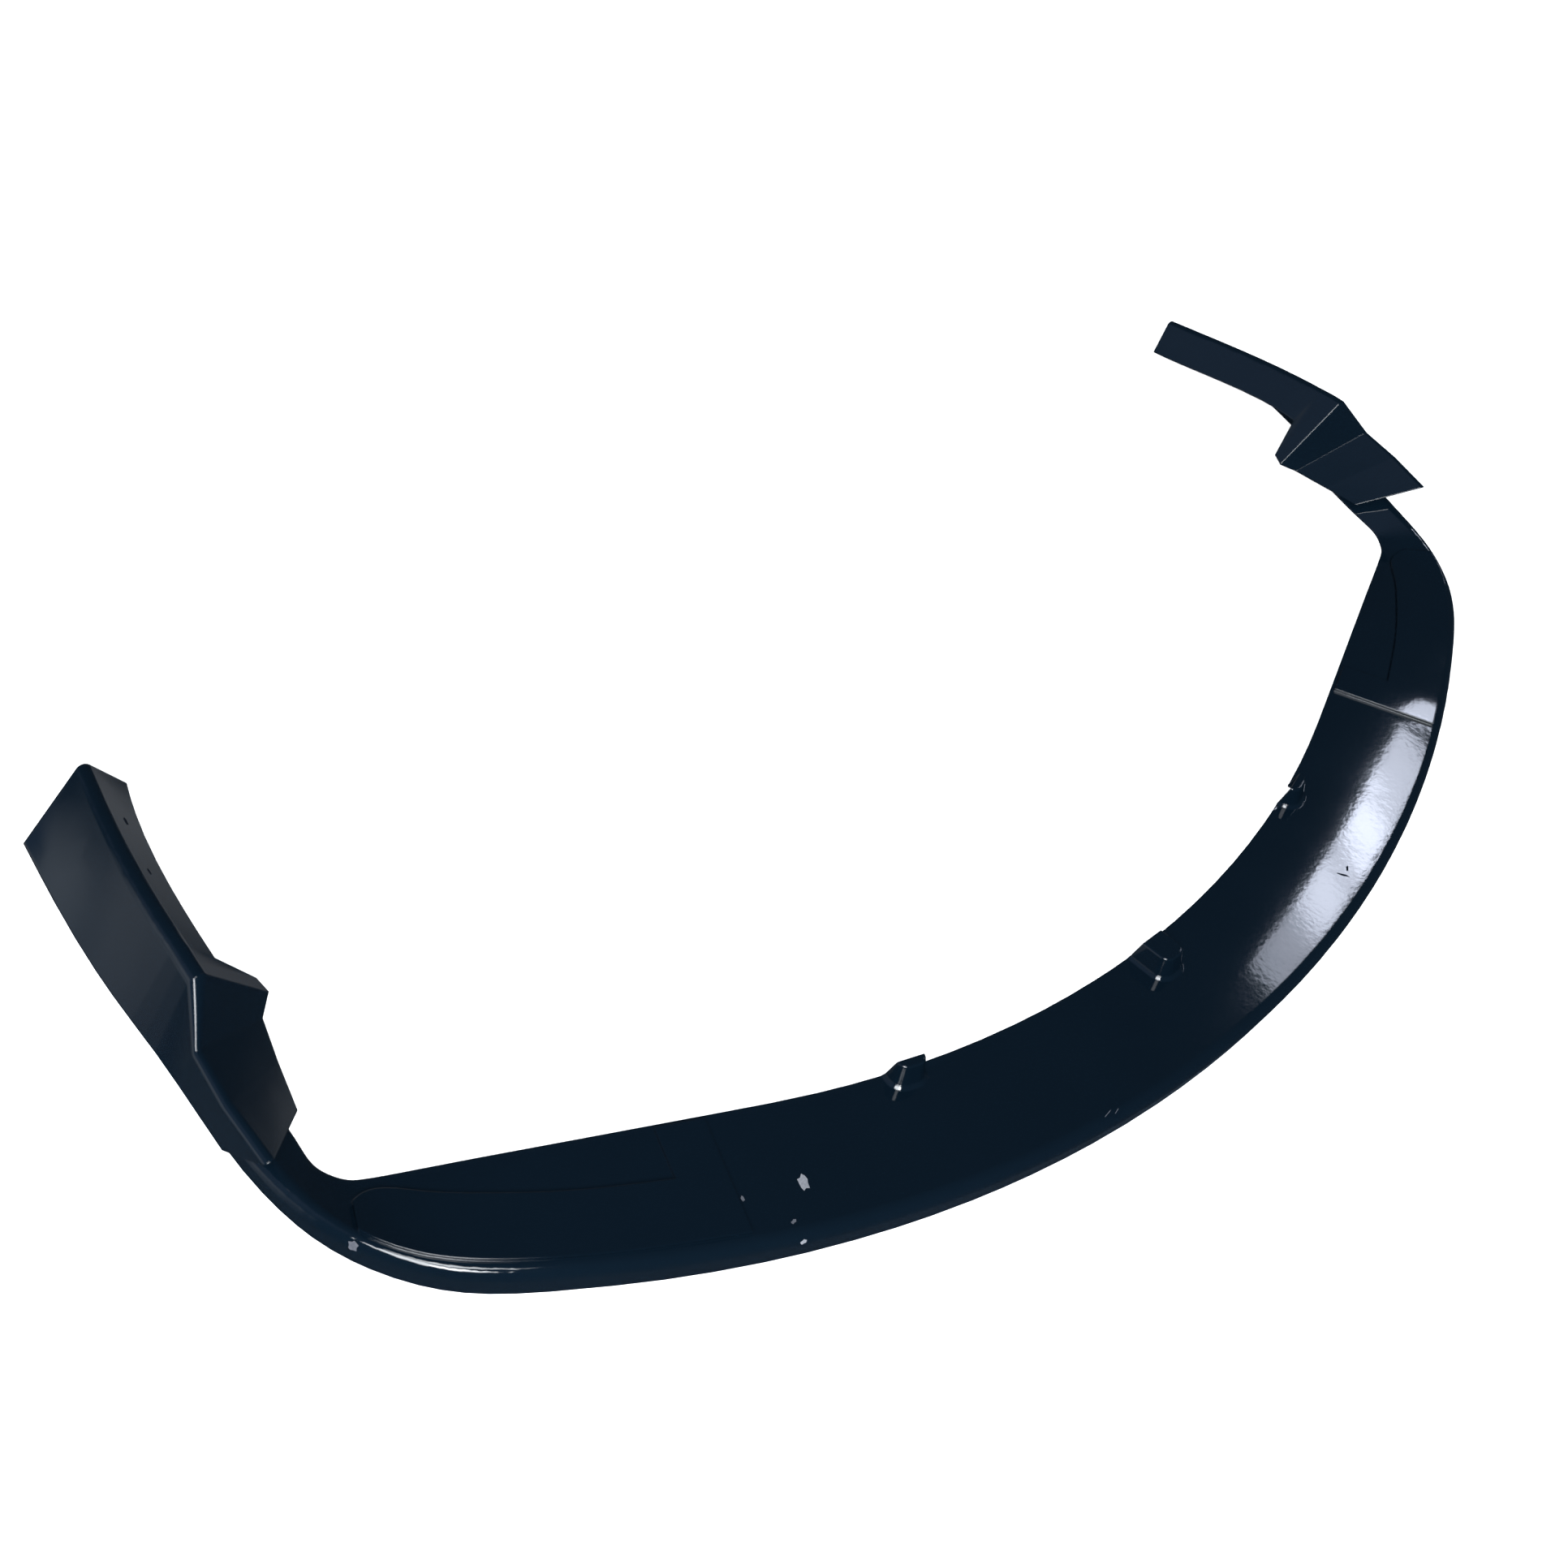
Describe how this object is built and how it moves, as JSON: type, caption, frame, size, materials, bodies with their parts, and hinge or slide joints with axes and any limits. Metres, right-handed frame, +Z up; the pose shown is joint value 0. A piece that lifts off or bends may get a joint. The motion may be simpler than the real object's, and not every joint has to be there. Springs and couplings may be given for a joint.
{
  "type": "bumper spoiler",
  "caption": "U-shaped front bumper spoiler: gloss-black one-piece lip with a sloped blade, rounded rim, raised pads, hollow tongue bosses and folded wings at its ends.",
  "frame": {"origin": "on the ground under the middle of the moulding", "axes": "+Z up, X across the car with the moulding the same on both sides, -Y towards the car's nose, arms running back along +Y"},
  "size_m": [1.706, 0.7864, 0.1001],
  "materials": {
    "body": "gloss"
  },
  "bodies": {
    "root": {"lip_moulding": "body"}
  },
  "joints": []
}
